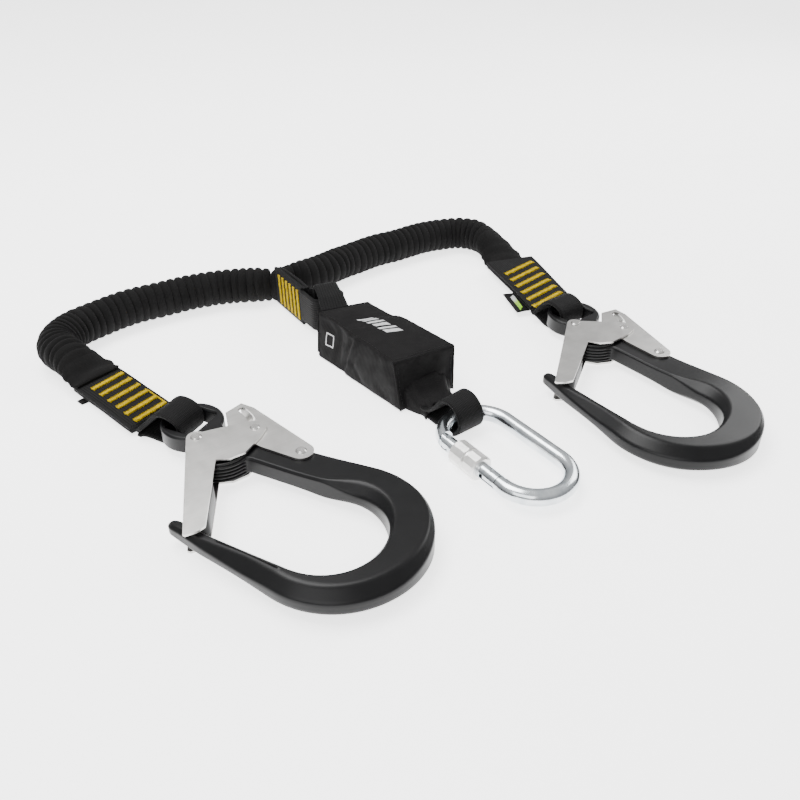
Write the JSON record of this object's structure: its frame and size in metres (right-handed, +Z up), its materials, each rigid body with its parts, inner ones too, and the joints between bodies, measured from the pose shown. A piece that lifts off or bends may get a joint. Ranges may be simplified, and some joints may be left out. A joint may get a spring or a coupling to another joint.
{
  "type": "twin leg shock absorbing lanyard",
  "caption": "Twin leg fall arrest lanyard: soft energy absorber pack, screwgate oval karabiner, pleated stretch legs and large double action scaffold hooks.",
  "frame": {"origin": "on the floor, at the middle of the box round the hooks, straps, karabiner and pack, without the two stretch legs", "axes": "+Z up from the floor, -Y towards the karabiner, +X towards the right hook"},
  "size_m": [0.4614, 0.4521, 0.0444],
  "materials": {
    "pack_nylon": "charcoal woven nylon, sewn seams",
    "black_webbing": "black ribbed polyester webbing",
    "tear_web": "natural polyester tear webbing",
    "tack_thread": "yellow-gold zigzag bar tack thread",
    "elastic": "covered elastic core",
    "leg_fabric": "matt black tubular webbing in pleats",
    "black_alloy": "satin black anodised forging",
    "stainless": "satin stainless plate",
    "spring_wire": "bright spring wire",
    "zinc_steel": "bright zinc plated steel",
    "sleeve_alloy": "pale bead-blasted alloy with fluted grip"
  },
  "bodies": {
    "lanyard": {"pack_cover": "pack_nylon", "pack_throat": "pack_nylon", "tear_webbing": "tear_web", "karabiner_loop": "black_webbing", "pack_end_loop": "black_webbing", "fork_ring": "black_webbing", "fork_strap": "black_webbing", "fork_tacks": "tack_thread", "fork_junction": "black_webbing", "left_leg_sleeve": "leg_fabric", "left_leg_core": "elastic", "right_leg_sleeve": "leg_fabric", "right_leg_core": "elastic", "left_end_strap": "black_webbing", "left_end_tacks": "tack_thread", "left_eye_loop": "black_webbing", "left_tag": "black_webbing", "right_end_strap": "black_webbing", "right_end_tacks": "tack_thread", "right_eye_loop": "black_webbing", "right_label": "black_webbing"},
    "left_hook": {"left_hook_body": "black_alloy", "left_gate_rivet": "stainless", "left_lever_rivet": "stainless", "left_gate_spring": "spring_wire"},
    "left_gate_body": {"left_gate": "stainless", "left_latch_pin": "stainless"},
    "left_lever_body": {"left_lever": "stainless"},
    "right_hook": {"right_hook_body": "black_alloy", "right_gate_rivet": "stainless", "right_lever_rivet": "stainless", "right_gate_spring": "spring_wire"},
    "right_gate_body": {"right_gate": "stainless", "right_latch_pin": "stainless"},
    "right_lever_body": {"right_lever": "stainless"},
    "karabiner": {"karabiner_frame": "zinc_steel", "karabiner_hinge_pin": "zinc_steel"},
    "karabiner_gate_body": {"karabiner_gate": "zinc_steel", "karabiner_latch_pin": "zinc_steel", "karabiner_spring": "spring_wire"},
    "karabiner_sleeve_body": {"karabiner_sleeve": "sleeve_alloy"}
  },
  "joints": [
    {"name": "left_hook_lift", "type": "hinge", "parent": "lanyard", "child": "left_hook", "pos_m": [-0.17789, 0.06194, 0.0115], "axis": [-0.878, -0.4787, 0], "range_deg": [0, 90]},
    {"name": "left_gate_open", "type": "hinge", "parent": "left_hook", "child": "left_gate_body", "pos_m": [-0.1771, 0.0208, 0.0115], "axis": [0, 0, 1], "range_deg": [0, 38.4], "stiffness_Nm_per_rad": 0.35, "springref_deg": -20.05},
    {"name": "left_lever_press", "type": "hinge", "parent": "left_hook", "child": "left_lever_body", "pos_m": [-0.12641, -0.03061, 0.0115], "axis": [0, 0, 1], "range_deg": [0, 3.2], "stiffness_Nm_per_rad": 0.5, "springref_deg": -2.86},
    {"name": "right_hook_lift", "type": "hinge", "parent": "lanyard", "child": "right_hook", "pos_m": [0.16045, 0.02286, 0.0115], "axis": [-0.9991, -0.0419, 0], "range_deg": [0, 90]},
    {"name": "right_gate_open", "type": "hinge", "parent": "right_hook", "child": "right_gate_body", "pos_m": [0.143, -0.0144, 0.0115], "axis": [0, 0, 1], "range_deg": [0, 38.4], "stiffness_Nm_per_rad": 0.35, "springref_deg": -20.05},
    {"name": "right_lever_press", "type": "hinge", "parent": "right_hook", "child": "right_lever_body", "pos_m": [0.16579, -0.08291, 0.0115], "axis": [0, 0, 1], "range_deg": [0, 3.2], "stiffness_Nm_per_rad": 0.5, "springref_deg": -2.86},
    {"name": "karabiner_lift", "type": "hinge", "parent": "lanyard", "child": "karabiner", "pos_m": [-0.009, -0.04795, 0.0094], "axis": [-1, 0, 0], "range_deg": [0, 100]},
    {"name": "karabiner_gate_open", "type": "hinge", "parent": "karabiner", "child": "karabiner_gate_body", "pos_m": [-0.03425, -0.0697, 0.0094], "axis": [0, 0, 1], "range_deg": [0, 25], "stiffness_Nm_per_rad": 0.12, "springref_deg": -17.19},
    {"name": "sleeve_travel", "type": "slide", "parent": "karabiner_gate_body", "child": "karabiner_sleeve_body", "axis": [0, 1, 0], "range_m": [-0.0205, 0.006]}
  ],
  "couplings": [
    {"joint": "left_lever_press", "follows": "left_gate_open", "ratio": 0.083333},
    {"joint": "right_lever_press", "follows": "right_gate_open", "ratio": 0.083333}
  ]
}
